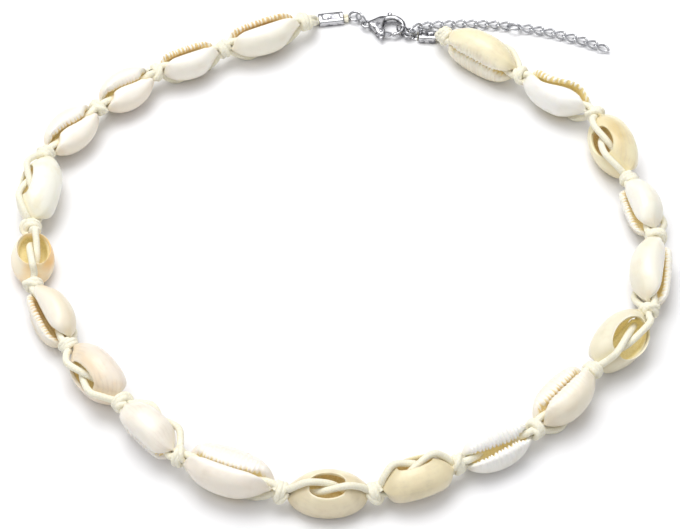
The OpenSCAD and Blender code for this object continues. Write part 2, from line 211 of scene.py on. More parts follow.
class Finish:
    def __init__(self, name):
        self.material = bpy.data.materials.new(name)
        self.material.use_nodes = True
        self.tree = self.material.node_tree
        self.shader = self.tree.nodes["Principled BSDF"]

    def node(self, kind, settings=None, sockets=None, output=0):
        made = self.tree.nodes.new(kind)
        for key, value in (settings or {}).items():
            if key == "stops":
                ramp = made.color_ramp.elements
                while len(ramp) < len(value):
                    ramp.new(0.5)
                for element, (place, colour) in zip(ramp, value):
                    element.position, element.color = place, (*colour, 1)
            else:
                setattr(made, key, value)
        for key, value in (sockets or {}).items():
            self.put(made.inputs[key], value)
        return Socket(self, made.outputs[output])

    def put(self, target, value):
        if isinstance(value, Socket):
            self.tree.links.new(value.link, target)
        elif isinstance(value, tuple) and len(value) == 3 and len(target.default_value) == 4:
            target.default_value = (*value, 1)
        else:
            target.default_value = value

    def set(self, **values):
        for key, value in values.items():
            self.put(self.shader.inputs[key.replace("_", " ")], value)

    def coords(self, stretch=PER_MM, turn=(0, 0, 0)):
        place = self.node("ShaderNodeTexCoord", output=OBJECT_COORDS)
        return self.node("ShaderNodeMapping", {}, {"Vector": place, "Scale": stretch, "Rotation": turn})

    def parts(self, vector):
        split = self.node("ShaderNodeSeparateXYZ", {}, {0: vector}).link.node
        return [Socket(self, output) for output in split.outputs]

    def uv(self, name):
        return self.parts(self.node("ShaderNodeUVMap", {"uv_map": name}))[:2]

    def attribute(self, name):
        settings = {"attribute_name": name}
        return self.parts(self.node("ShaderNodeAttribute", settings, output=ATTRIBUTE_VECTOR))

    def noise(self, vector, scale, detail=2.0, roughness=0.5):
        sockets = {"Vector": vector, "Scale": scale, "Detail": detail, "Roughness": roughness}
        return self.node("ShaderNodeTexNoise", {}, sockets)

    def ramp(self, value, *stops):
        return self.node("ShaderNodeValToRGB", {"stops": stops}, {0: value})

    def step(self, value, low, high):
        sockets = {"Value": value, "From Min": low, "From Max": high}
        return self.node("ShaderNodeMapRange", {"interpolation_type": "SMOOTHSTEP"}, sockets)

    def mix(self, a, b, share):
        sockets = {MIX_SHARE: share, MIX_A: a, MIX_B: b}
        return self.node("ShaderNodeMix", {"data_type": "RGBA"}, sockets, output=MIX_RESULT)

    def bump(self, height, distance, strength=1.0):
        sockets = {"Strength": strength, "Distance": distance, "Height": height}
        return self.node("ShaderNodeBump", {}, sockets)


# Meshes. Points closer than WELD, in millimetres, become one
WELD = 2e-3


def skin(bm, rows, columns, place, marks=None):
    """A grid of quads wrapped into its shape by place(u, v), both from 0 to 1, with marks(u, v) on it."""
    made = bmesh.ops.create_grid(bm, x_segments=columns, y_segments=rows, size=0.5)["verts"]
    shares = {v: (v.co.x + 0.5, v.co.y + 0.5) for v in made}
    uv = bm.loops.layers.uv.active
    if uv:
        for loop in loops_of(made):
            loop[uv].uv = shares[loop.vert]
    for v, (a, b) in shares.items():
        v.co = place(a, b)
        if marks:
            v[bm.verts.layers.float_vector["marks"]] = marks(a, b)
    return made


def loops_of(verts):
    return [loop for face in {f for v in verts for f in v.link_faces} for loop in face.loops]


def finished(bm, name, finish, body, *nodes, slot):
    """Welds a piece, brings it to its place in metres, gives it its finish and body, and hides the nodes
    it stands for.
    """
    bmesh.ops.remove_doubles(bm, verts=bm.verts, dist=WELD)
    bmesh.ops.recalc_face_normals(bm, faces=bm.faces)
    bmesh.ops.translate(bm, vec=-CENTRE, verts=bm.verts)
    bmesh.ops.scale(bm, vec=(MM, MM, MM), verts=bm.verts)
    mesh = bpy.data.meshes.new(name)
    bm.to_mesh(mesh)
    bm.free()
    mesh.shade_smooth()
    mesh.materials.append(finish.material)
    made = bpy.data.objects.new(name, mesh)
    bpy.context.scene.collection.objects.link(made)
    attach(made, body)
    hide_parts(*nodes)


# Shells. Half lengths of the slit and of the hollow inside, as shares of the shell's
SLIT_L = 0.84
HOLLOW_L = 0.74


def shell_rows(s):
    """Rows from the rim of the hole over the back and side, round the lips and up the inside. Columns:
    half length, half width, height, height in the end canals, bend of the slit, and inner whorl."""
    a, b, h = (s.pitch - KNOT_GAP) / 2, s.width / 2, s.height
    hole_a, hole_b, slit = s.hole_l / 2, s.hole_w / 2, SLIT_W / 2
    return [
        (hole_a, hole_b, 0.8 - 0.5 * h, 0.8 - 0.5 * h, 0, 0),
        (hole_a + 0.01, hole_b + 0.03, 0.3 - 0.5 * h, 0.3 - 0.5 * h, 0, 0),
        (hole_a + 0.12, hole_b + 0.3, -0.5 * h, -0.5 * h, 0, 0),
        (mix(hole_a, 0.77 * a, 0.55), mix(hole_b, 0.82 * b, 0.6), -0.42 * h, -0.41 * h, 0, 0),
        (0.78 * a, 0.83 * b, -0.31 * h, -0.3 * h, 0, 0),
        (0.88 * a, 0.95 * b, -0.14 * h, -0.2 * h, 0, 0),
        (0.95 * a, 1.0 * b, 0.03 * h, -0.11 * h, 0, 0),
        (1.0 * a, 0.99 * b, 0.17 * h, -0.04 * h, 0, 0),
        (0.98 * a, 0.9 * b, 0.32 * h, 0, 0, 0),
        (0.97 * a, 0.75 * b, 0.43 * h, 0.02 * h, 0.05, 0),
        (0.95 * a, 0.55 * b, 0.49 * h, 0.02 * h, 0.2, 0),
        (0.92 * a, slit + 0.95, 0.495 * h, 0, 0.4, 0),
        (0.88 * a, slit + 0.32, 0.45 * h, -0.02 * h, 0.5, 0),
        (SLIT_L * a, slit, 0.37 * h, -0.03 * h, 0.5, 0),
        (0.8 * a, slit + 0.1, 0.5 * h - 1.5, -0.05 * h, 0.5, 0.02),
        (0.76 * a, mix(slit, 0.6 * b, 0.5), 0.5 * h - 2.1, -0.08 * h, 0.3, 0.1),
        (HOLLOW_L * a, 0.62 * b, 0.18 * h, -0.1 * h, 0.2, 0.28),
        (HOLLOW_L * a, b - WALL, -0.05 * h, -0.16 * h, 0, 0.1),
        (0.67 * a, 0.82 * b - WALL, -0.31 * h + 0.45, -0.23 * h, 0, 0),
    ]


# Places on the shell, counted in its rows, and stretches from one row to another
HOLE_FLANK = 3.2
BACK = 4.8
FLANK = 8.7
BASE = 10.2
LIP_TOP = 11.2
LIP = 12.6
SLIT = 13.2
FOLD_BACK = 15.7
OFF_THE_HOLE = (2, 5)
ONTO_THE_BASE = (8, 10)
INTO_THE_SLIT = (14, 16)
# The gold, in the same rows: where it begins on a plain lip, on the crest of a tooth and in the valley
# beside it, how much further out it may run there, and where it ends inside
GOLD_LIP = 13.4
GOLD_CREST = 13.9
GOLD_VALLEY = 12.4
GOLD_SPREAD = 4.2
GOLD_END = (18.4, 18.95)
# Teeth of depth 1, in millimetres: how far they reach into the slit, and how high they and the ribs
# that run on over the base stand
TOOTH_REACH = 0.48
TOOTH_RISE = 0.14
RIB_RISE = 0.2
# A slimmer end: how much narrower it is, and how much of the height its back loses
SLIM_W = 0.25
SLIM_H = 0.2
# How much of the height a slanting lip drops, and how far the fuller end shifts the back
SLANT_DROP = 0.3
BACK_SHIFT = 0.08
# How much the columns crowd towards the ends of the shell
CROWDING = 0.4


def shell_shape(k):
    """The shell's surface in its own frame, and its marks: gold, lip (a stain where negative) and end."""
    s, lips = SHELLS[k], LIPS[k]
    rows = shell_rows(s)
    last = len(rows)
    rows = rows + rows[:1]
    a, h = (s.pitch - KNOT_GAP) / 2, s.height

    def around(u):
        """Side of the slit (1 for the inner), place along the shell from -1 to 1, and how it bulges."""
        q = (2 * u) % 2
        side = 1 if q < 1 else -1
        t = 1 - 2 * (q % 1)
        along = mix(t, math.sin(0.5 * math.pi * t), CROWDING)
        return side, along * side, math.sqrt(max(0, 1 - along * along))

    def tooth(x, side):
        """Height of the row of teeth at x, from 0 to 1, and how deep they are on this lip."""
        wobble = 0.12 * math.sin(1.9 * x + k) + 0.08 * math.sin(4.3 * x + 2 * k)
        turns = (x + wobble + side * 0.25) * (lips.teeth + 1) / (1.6 * a)
        wave = 0.5 + 0.5 * math.cos(2 * math.pi * turns)
        return wave ** 0.7, lips.outer if side < 0 else lips.inner

    def surface(u, v):
        t = v * last
        half_l, half_w, z, z_canal, bend, whorl = spline(rows, t)
        side, along, rise = around(u)
        x = half_l * along
        share = x / (SLIT_L * a)
        edge = max(0, 1 - abs(share) ** 8)
        base = smooth(t, *ONTO_THE_BASE) * (1 - smooth(t, *INTO_THE_SLIT))
        reach = rise ** mix(1.12 - 0.22 * lips.fuller * along, 1.05, base)

        # How much the slit is narrowed, and how far it bends
        free = 1 - smooth(abs(share), 0.6, 0.85)
        opening = mix(1, lips.slit_share * (1 + lips.slit_slope * share), free)
        narrow = (1 - opening) * SLIT_W / 2 * bell(t, SLIT, 2.4)
        curve = lips.bow * rise + lips.double_bend * math.sin(math.pi * share) * edge

        # Teeth on the lip and their ribs over the base
        wave, depth = tooth(x, side)
        near = bell(t, LIP, 1.3) * edge
        ribs = bell(t, BASE, 1.7) * edge * lips.run
        inwards = depth * TOOTH_REACH * near * (wave - 0.35)
        lift = depth * (TOOTH_RISE * near + RIB_RISE * ribs) * (wave - 0.5)
        lift -= SLANT_DROP * max(0, -side * lips.slant) * h * bell(t, FLANK, 1.8) * rise

        # The slimmer end is drawn in, and its back is flatter
        slim = abs(lips.fuller) * smooth(-math.copysign(along, lips.fuller * along), 0.4, 1)
        half_w *= 1 - SLIM_W * slim * smooth(t, *OFF_THE_HOLE)
        y = side * mix(0.95 * SLIT_W / 2, half_w, reach) - 2 * bend * curve
        y -= side * (narrow + inwards) * reach ** 0.5

        # Canals at both ends, and the inner whorl
        end = math.acos(min(1, abs(along)))
        canal = math.exp(-((end / mix(0.571, 0.44, base)) ** 1.61))
        z = mix(z, z_canal, canal) - (whorl * h * reach if side > 0 else 0) + lift
        z += SLIM_H * h * slim * bell(t, BACK, 2.2)
        curl = (1 - smooth(abs(share), 0.7, 1.1)) * bell(t, FOLD_BACK, 0.9) if side > 0 else 0
        y, z = mix(y, -1.5, curl), mix(z, 0.02 * h, curl)
        x += BACK_SHIFT * lips.fuller * a * (1 - along * along) * smooth(t, *OFF_THE_HOLE)
        return Vector((x, y, z))

    def marks(u, v):
        t = v * last
        side, along, rise = around(u)
        wave, depth = tooth(spline(rows, t)[0] * along, side)
        toothed = mix(GOLD_VALLEY - GOLD_SPREAD * lips.gold_run, GOLD_CREST, wave)
        start = mix(GOLD_LIP, toothed, min(1, 1.5 * depth))
        gold = smooth(t, start - 0.5, start + 0.3) * (1 - smooth(t, *GOLD_END))
        stain = max(0, side * COATS[k].stain) * bell(t, HOLE_FLANK, 2.4) * rise
        return Vector((gold, bell(t, LIP_TOP, 2.2) - stain, smooth(abs(along), 0.7, 1)))

    return surface, marks


# How far a strand stays clear of the shell, and how far its ends stop inside the shell's length
CORD_CLEAR = 0.09
ROUTE_INSET = 0.12


def strand_route(s):
    """A strand's way through a shell: over the rim of the hole, down across the inside and out again."""
    a, h, hole_a = (s.pitch - KNOT_GAP) / 2, s.height, s.hole_l / 2
    out = a - ROUTE_INSET
    shoulder, rim = Vector((-0.77 * a, -0.31 * h)), Vector((-hole_a - 0.1, -0.5 * h))
    slope = (rim - shoulder).normalized()
    off = Vector((slope.y, -slope.x))
    clear = CORD_D / 2 + CORD_CLEAR
    low, edge = shoulder + clear * off, rim + clear * (off + Vector((0, -1))).normalized()
    return [
        (-out - 0.05, 0, -1.3),
        (-0.96 * a, 0, -0.14 * h - 0.65),
        (low.x, 0, low.y),
        (edge.x, -0.4, edge.y),
        (0, -0.8, -0.5 * h + 0.7),
        (0.6 * hole_a, -0.6, -0.5 * h + 2.2),
        (0.6 * a, 0, 0.06 * h),
        (0.8 * a, 0, 1),
        (out, 0, 1.2),
    ]


# How far each point of the route goes to the height of the knot beside it
TO_KNOT = (0.7, 0.1, 0, 0, 0, 0, 0, 0.1, 0.7)
# Points round the shell and from row to row that are tried for its lowest one
LIFT_U, LIFT_V = 48, 40


def lift_of(k):
    """Height of a shell's middle when the shell or its strands rest on the floor."""
    surface, roll = shell_shape(k)[0], SHELLS[k].roll
    tried = [surface(u / LIFT_U, v / LIFT_V) for u in range(LIFT_U) for v in range(LIFT_V)]
    shell_low = min(turned(p, "X", roll).z for p in tried)
    cord_low = min(turned((x, way * y, z), "X", roll).z - CORD_D / 2
                   for x, y, z in strand_route(SHELLS[k]) for way in (-1, 1))
    return -min(shell_low, cord_low)


KNOTS = [FIRST_KNOT]
for shell in SHELLS:
    KNOTS.append(KNOTS[-1] + shell.pitch * heading_of(shell.heading))
LIFTS = [lift_of(k) for k in range(SHELL_COUNT)]


def knot_z(k):
    return END_KNOT_Z if k in (0, SHELL_COUNT) else (LIFTS[k - 1] + LIFTS[k]) / 2


def knot_heading(k):
    return (SHELLS[max(k - 1, 0)].heading + SHELLS[min(k, SHELL_COUNT - 1)].heading) / 2


def knot_at(k):
    return KNOTS[k] + Vector((0, 0, knot_z(k)))


def placed(p, k):
    """A point of shell k's own frame, in the necklace."""
    middle = (KNOTS[k] + KNOTS[k + 1]) / 2 + Vector((0, 0, LIFTS[k]))
    return turned(turned(p, "X", SHELLS[k].roll), "Z", SHELLS[k].heading) + middle


def make_shell(k, rows, columns):
    bm = bmesh.new()
    bm.verts.layers.float_vector.new("marks")
    bm.loops.layers.uv.new("wrap")
    surface, marks = shell_shape(k)
    skin(bm, rows, columns, lambda u, v: placed(surface(u, v), k), marks)
    number = f"{k + 1:02d}"
    name = "cowrie_" + number
    finished(bm, name, cowrie_finish(name, k), "necklace", "shell_" + number, slot="shell")


# Cords and wires
def tube(bm, points, radii, sides=12, per_point=5, flat=1.0):
    """A round tube along a smooth curve. Its UV map counts turns round it and centimetres along it."""
    count = (len(points) - 1) * per_point
    line = [Vector(spline(points, n / per_point)) for n in range(count + 1)]
    if not isinstance(radii, list):
        radii = [radii] * len(points)
    radii = [spline([(r,) for r in radii], n / per_point)[0] for n in range(count + 1)]
    side = Vector((0.1, 0.2, 1))
    frames, length = [], [0.0]
    for n, p in enumerate(line):
        ahead = (line[min(n + 1, count)] - line[max(n - 1, 0)]).normalized()
        side = (side - side.dot(ahead) * ahead).normalized()
        frames.append((p, side, ahead.cross(side)))
        if n:
            length.append(length[-1] + (p - line[n - 1]).length)

    def place(u, v):
        n = round(v * count)
        p, up, across = frames[n]
        turn = 2 * math.pi * u
        return p + radii[n] * (math.cos(turn) * up * flat + math.sin(turn) * across)

    made = skin(bm, count, sides, place)
    uv = bm.loops.layers.uv.active
    if uv:
        for loop in loops_of(made):
            loop[uv].uv.y = length[round(loop[uv].uv.y * count)] / 10


# The crimps: the knot beside each, its mouth, its direction, the length of its sheet, how far the
# strands run on past it, and the length of its neck and the radius and height of its loop
Crimp = namedtuple("Crimp", "knot mouth heading length stub neck loop_r loop_z")
CRIMPS = {
    "left": Crimp(0, Vector((-5.7, 67.1, 0)), 8, 6.2, 1.0, 1.35, 1.45, 1.2),
    "right": Crimp(SHELL_COUNT, Vector((22.59, 61.68, 0)), 177, 4.3, -0.15, 1.74, 0.76, 1.3),
}
CRIMP_W = 3.0
CRIMP_H = 1.8
SHEET = 0.35
LOOP_WIRE = 0.6
NECK_HALF_W = 0.5


def end_points(side, way):
    """A strand from an end knot into its crimp, with its radius at each point."""
    crimp = CRIMPS[side]
    ahead = heading_of(crimp.heading)
    aside = Vector((-ahead.y, ahead.x, 0))
    out = heading_of(knot_heading(crimp.knot)) * (-1 if crimp.knot == 0 else 1)
    across = Vector((-out.y, out.x, 0))
    start = knot_at(crimp.knot) + 1.3 * out
    inside = crimp.mouth + Vector((0, 0, CRIMP_H / 2))
    before = inside - 0.9 * ahead + Vector((0, 0, 0.25))
    # Columns: place, how far and which way the two strands lie apart, radius
    rows = [
        (start, 0.7, across, 0.76),
        (mix(start, before, 0.5), 0.8, across, 0.76),
        (before, 0.82, aside, 0.7),
        (inside - 0.15 * ahead, 0.58, aside, 0.5),
        (inside + (crimp.length - 0.5) * ahead, 0.58, aside, 0.5),
        (inside + (crimp.length + crimp.stub) * ahead, 0.66, aside, 0.66),
    ]
    points = [p + way * apart * sideways for p, apart, sideways, radius in rows]
    return points, [radius for p, apart, sideways, radius in rows]


def strand_line(way):
    """A strand from crimp to crimp, in at the one end of each shell or, where way is -1, at the other."""
    points, radii = end_points("left", way)
    points, radii = points[::-1], radii[::-1]
    for k, s in enumerate(SHELLS):
        steps = list(zip(strand_route(s), TO_KNOT))
        for (x, y, z), to_knot in steps[::way]:
            end = k if x * way < 0 else k + 1
            p = placed((x * way, y * way, z), k)
            p.z += to_knot * (knot_z(end) - LIFTS[k])
            points.append(p)
            radii.append(CORD_R)
        if k < SHELL_COUNT - 1:
            points.append(mix(points[-1], knot_at(k + 1), 0.6))
            radii.append(CORD_R)
    tail, tail_radii = end_points("right", way)
    return points + tail, radii + tail_radii


def make_strand(way, name, finish):
    bm = bmesh.new()
    bm.loops.layers.uv.new("cord")
    tube(bm, *strand_line(way))
    finished(bm, "cotton_" + name, finish, "necklace", name, slot="cord")


# The wraps of a knot, and the strand led over them: place along the string, radius and angle
WRAP_STEPS = 22
WRAP_X = 0.75
WRAP_R = 1.5
WRAP_TURN = 760
WRAP_CORD_R = 0.7
OVER_CORD_R = 0.62
OVER = ((-1.5, 0.6, 110), (-1.1, 1.5, 140), (-0.5, 2.1, 165), (0.1, 2.2, 190), (0.7, 2.0, 215),
        (1.2, 1.3, 240), (1.5, 0.5, 260))


def make_knot(k, finish):
    """Both strands wound round the string, and one led across the wraps."""
    bm = bmesh.new()
    bm.loops.layers.uv.new("cord")
    hand, phase = 1 if k % 2 else -1, 67 * k
    lean = Matrix.Rotation(math.radians(12 * math.sin(2.1 * k)), 3, "Y")
    spin = Matrix.Rotation(math.radians(knot_heading(k)), 3, "Z") @ lean

    def coil(x, r, degrees):
        turn = math.radians(degrees + phase)
        return knot_at(k) + spin @ Vector((x, r * math.cos(turn), hand * r * math.sin(turn)))

    def wrap(share):
        swell = 0.12 * math.sin(2 * math.pi * share)
        return coil(mix(-WRAP_X, WRAP_X, share), WRAP_R + swell, WRAP_TURN * share)

    wraps = [wrap(n / WRAP_STEPS) for n in range(WRAP_STEPS + 1)]
    ends = coil(-1.2, 0.5, -80), coil(1.2, 0.5, WRAP_TURN + 80)
    tube(bm, [ends[0], *wraps, ends[1]], WRAP_CORD_R, per_point=3)
    tube(bm, [coil(*point) for point in OVER], OVER_CORD_R, per_point=4)
    finished(bm, f"overhand_knot_{k:02d}", finish, "necklace", f"knot_{k:02d}", slot="cord")


# Metal
def frame_at(at, *turns):
    """A function that sets the points of a piece in the necklace, at a place and turned."""
    spin = Matrix.Identity(3)
    for axis, degrees in turns:
        spin = spin @ Matrix.Rotation(math.radians(degrees), 3, axis)
    return lambda x, y, z: Vector(at) + spin @ Vector((x, y, z))


def closed_wire(bm, put, path, wire, count, sides=10):
    """A ring of wire in the XY plane of put. path(share) gives a point of it and the way outwards."""
    def place(u, v):
        x, y, out_x, out_y = path(v % 1)
        turn = 2 * math.pi * u
        reach, z = wire / 2 * math.cos(turn), wire / 2 * math.sin(turn)
        return put(x + reach * out_x, y + reach * out_y, z)
    skin(bm, count, sides, place)


def circle_path(radius):
    """The round path of a ring, for closed_wire."""
    def path(share):
        out_x, out_y = math.cos(2 * math.pi * share), math.sin(2 * math.pi * share)
        return radius * out_x, radius * out_y, out_x, out_y
    return path


def twisted(put, length, degrees):
    """Turns the points of a piece about its long axis, more towards its ends."""
    def turn(x, y, z):
        return put(*turned((x, y, z), "X", degrees * max(-1, min(1, 2 * x / length))))
    return turn


# Where along a link its taper begins
TAPER_FROM = -0.5


def link_path(inner_l, inner_w, wire, taper=0.0):
    """Oval of two straight bars and two half rings; a taper draws the far end to a point."""
    bend, bar = (inner_w + wire) / 2, inner_l - inner_w
    half = bar + math.pi * bend

    def path(share):
        s = share * 2 * half
        flip = 1 if s < half else -1
        s %= half
        if s < bar:
            x, y, out_x, out_y = s - bar / 2, -bend, 0, -1
        else:
            turn = (s - bar) / bend - math.pi / 2
            out_x, out_y = math.cos(turn), math.sin(turn)
            x, y = bar / 2 + bend * out_x, bend * out_y
        x, y, out_x, out_y = flip * x, flip * y, flip * out_x, flip * out_y
        reach = max(0, (x - TAPER_FROM) / (bar / 2 + bend - TAPER_FROM))
        return x + taper * 0.5 * reach ** 3, y * (1 - taper * reach ** 1.5), out_x, out_y
    return path


# Rows of a pillow, and the share of them that its flat underside takes
PILLOW_ROWS = 16
UNDERSIDE = 0.25


def pillow(bm, put, outline, middle, low, high, dome=0.5):
    """A solid with the outline seen from above, flat below, rounded over its upper edge."""
    corners = [Vector((x, y, 0)) for x, y in outline + outline[:1]]
    centre = Vector((*middle, 0))

    def place(u, v):
        p = Vector(spline(corners, u * len(outline)))
        if v < UNDERSIDE:
            share, z = v / UNDERSIDE, low
        else:
            turn = (v - UNDERSIDE) / (1 - UNDERSIDE) * math.pi / 2
            share, z = math.cos(turn) ** dome, mix(low, high, math.sin(turn) ** 0.6)
        p = centre + (p - centre) * share
        return put(p.x, p.y, z)
    skin(bm, PILLOW_ROWS, 4 * len(outline), place)


def block(bm, put, low, high, edge):
    """A block from its low to its high corner, with rounded edges."""
    made = bmesh.ops.create_cube(bm, size=1)["verts"]
    for v in made:
        v.co = Vector([mix(low[n], high[n], v.co[n] + 0.5) for n in range(3)])
    edges = list(dict.fromkeys(e for v in made for e in v.link_edges))
    rounded = bmesh.ops.bevel(bm, geom=edges, offset=edge, segments=3, profile=0.5, affect="EDGES",
                              material=-1)["verts"]
    for v in set(rounded) | {v for v in made if v.is_valid}:
        v.co = put(*v.co)


def make_crimp(side, finish):
    """Sheet folded over the strands, its upper flap with a slanted wavy edge, and a soldered loop."""
    crimp = CRIMPS[side]
    length, neck_end = crimp.length, crimp.length + crimp.neck
    put = frame_at(crimp.mouth, ("Z", crimp.heading))
    bm = bmesh.new()

    def section(turn, shrink):
        c, s = math.cos(turn), math.sin(turn)
        y = (CRIMP_W / 2 - shrink) * math.copysign(abs(c) ** 0.35, c)
        z = (CRIMP_H / 2 - shrink) * math.copysign(abs(s) ** 0.4, s)
        return y, z + CRIMP_H / 2

    def place(u, v):
        v = 4 * (v % 1)
        if v < 2:
            x = v / 2 * length
            shrink = 0.1 * (bell(x, 0, 0.15) + bell(x, length, 0.15))
        else:
            x = (4 - v) / 2 * length
            shrink = SHEET
        y, z = section(2 * math.pi * u, shrink)
        if shrink < SHEET and z > CRIMP_H - 0.3:
            seam = 0.5 * math.sin(2 * math.pi * x / length) + mix(-0.6, 0.6, x / length)
            z += 0.2 * smooth(y - seam, -0.1, 0.1) - 0.3 * bell(y, seam - 0.14, 0.14)
        return put(x, y, z)

    skin(bm, rows=60, columns=96, place=place)
    neck = (length - 0.4, -NECK_HALF_W, 0.02), (neck_end + 0.15, NECK_HALF_W, SHEET)
    post = (neck_end - 0.25, -NECK_HALF_W, 0.02), (neck_end + 0.25, NECK_HALF_W, crimp.loop_z + 0.2)
    block(bm, put, *neck, edge=0.1)
    block(bm, put, *post, edge=0.12)
    loop_at = frame_at(put(neck_end + crimp.loop_r, 0, crimp.loop_z))
    closed_wire(bm, loop_at, circle_path(crimp.loop_r), LOOP_WIRE, 48, sides=12)
    finished(bm, f"folded_crimp_{side}", finish, "necklace", "crimp_" + side, slot="metal")


JUMP_WIRE = 0.5


def make_jump_ring(side, finish, at, heading, radius):
    """A round ring that stands on its edge."""
    bm = bmesh.new()
    put = frame_at((*at, radius + JUMP_WIRE / 2), ("Z", heading), ("X", 90))
    closed_wire(bm, put, circle_path(radius), JUMP_WIRE, 56, sides=12)
    finished(bm, "jump_ring_" + side + "_wire", finish, "necklace", "jump_ring_" + side, slot="metal")


# The clasp, in its own frame with the middle of the hook at the origin
HOOK_AT = (11.95, 64.6)
HOOK_R = 2.75
HOOK_ARC = range(-80, 171, 10)
HOOK_WIRE_R = (0.5, 0.85)
HOOK_TIP_R = 0.25
CLASP_Z = 1.4
CLASP_HEADING = -8
EYE_REACH = 6.2
EYE_R = 0.95
EYE_WIRE = 0.62
PLATE_Z = (0.5, 1.12)
CORE_Z = (-0.55, 0.6)
RIVET_Z = (1.0, 1.26)
PIVOT = (-2.3, -2.5)
RIVET_R = 0.5
LEVER_R = 1.0
LEVER_T = 0.8
CLASP_OUTLINE = [(-5.6, 0.5), (-4.3, 1.5), (-3.3, 2.3), (-2.2, 2.7), (-1.6, 2.4), (-1.9, 1.2), (-2.05, 0),
                 (-1.9, -1.2), (-1.3, -2.2), (-1.35, -3.2), (-2.3, -3.6), (-3.3, -3), (-4.3, -1.6),
                 (-5.6, -0.5)]
CLASP_CORE = [(-5.6, 0.5), (-4.3, 1.5), (-3.3, 2.3), (-2.2, 2.7), (-1.6, 2.4), (-1.9, 1.2), (-2.05, 0.3),
              (-2.3, -1.1), (-3.2, -1.4), (-3.6, -2.4), (-4.3, -1.6), (-5.6, -0.5)]
# Outlines of the lever's gate and thumb tab, from its pivot
GATE = [(0, -0.5), (1.3, -0.5), (2.5, -0.4), (2.5, 0.4), (1.3, 0.5), (0, 0.5)]
TAB = [(-0.1, 0), (-0.1, -1.8), (0.3, -1.95), (0.7, -1.8), (0.7, 0)]
# The knob on the hook's back: steps out from its foot, and the radius at each
KNOB_FOOT = (-0.95, HOOK_R + 0.2)
KNOB = ((0, 0.55), (0.5, 0.5), (1.0, 0.62), (1.25, 0.5), (1.4, 0.02))

clasp = frame_at((*HOOK_AT, CLASP_Z), ("Z", CLASP_HEADING))


def clasp_below(x, y, z):
    """The clasp's frame turned over, for the lower half of a piece that is alike on both sides."""
    return clasp(x, y, -z)


def from_pivot(x, y):
    return PIVOT[0] + x, PIVOT[1] + y


def round_outline(x, y, radius, count=12):
    turns = [2 * math.pi * n / count for n in range(count)]
    return [(x + radius * math.cos(turn), y + radius * math.sin(turn)) for turn in turns]


def make_clasp(finish):
    """Tapering hook, a plate on each side of a core, the rivet's head, the eye and the knob."""
    bm = bmesh.new()
    arc = [math.radians(degrees) for degrees in HOOK_ARC]
    hook = [clasp(HOOK_R * math.cos(turn), HOOK_R * math.sin(turn), 0) for turn in arc]
    radii = [mix(*HOOK_WIRE_R, smooth(n, 0, 20)) for n in range(len(arc))]
    radii[0] = HOOK_TIP_R
    tube(bm, hook, radii, sides=14, per_point=3, flat=1.1)
    for put in (clasp, clasp_below):
        pillow(bm, put, CLASP_OUTLINE, (-3.2, -0.3), *PLATE_Z)
    pillow(bm, clasp, CLASP_CORE, (-3.4, 0.5), *CORE_Z, dome=0.1)
    pillow(bm, clasp, round_outline(*PIVOT, RIVET_R), PIVOT, *RIVET_Z)
    closed_wire(bm, frame_at(clasp(-EYE_REACH, 0, 0)), circle_path(EYE_R), EYE_WIRE, 36, sides=12)
    knob = [clasp(KNOB_FOOT[0], KNOB_FOOT[1] + step, 0) for step, radius in KNOB]
    tube(bm, knob, [radius for step, radius in KNOB], sides=14, per_point=3)
    finished(bm, "lobster_claw", finish, "necklace", "clasp_body", slot="metal")


def make_lever(finish):
    """Round boss on the pivot, with the gate that shuts the hook and the tab for the thumb."""
    bm = bmesh.new()
    gate = [from_pivot(x, y) for x, y in GATE]
    tab = [from_pivot(x, y) for x, y in TAB]
    for put in (clasp, clasp_below):
        pillow(bm, put, round_outline(*PIVOT, LEVER_R), PIVOT, 0, LEVER_T / 2, dome=0.2)
        pillow(bm, put, gate, from_pivot(1.3, 0), 0, LEVER_T / 2, dome=0.2)
        pillow(bm, put, tab, from_pivot(0.3, -0.9), 0, LEVER_T / 2, dome=0.2)
    finished(bm, "claw_lever", finish, "lever", "clasp_lever", slot="metal")


LINK_WIRE = 0.55
LINK_PITCH = 2.7
LINK_INNER_W = 1.3
LINK_INNER_L = LINK_PITCH + 0.12
LINK_ROLL = 45
LINK_REST_Z = (LINK_INNER_W + LINK_WIRE) / 2 * math.sin(math.radians(LINK_ROLL)) + LINK_WIRE / 2
LINK_COUNT = 19
# The two links by the ring: place, roll, slope and heading. The others follow on the floor, in a bow
RING_LINKS = (
    ((16.29, 62.8, 1.74), 1.6, 29.5, 60.1),
    ((17.92, 64.26, LINK_REST_Z), LINK_ROLL, 0, 43.8),
)
CHAIN_FROM = Vector((20, 65.21, 0))
CHAIN_HEADING = 8.2
LINK_BEND = 2.2
ROUND_LINK = 10
ROUND_LINK_R = (LINK_INNER_L + LINK_WIRE) / 2
ROUND_LINK_ROLL = 25
LAST_TAPER = 0.55


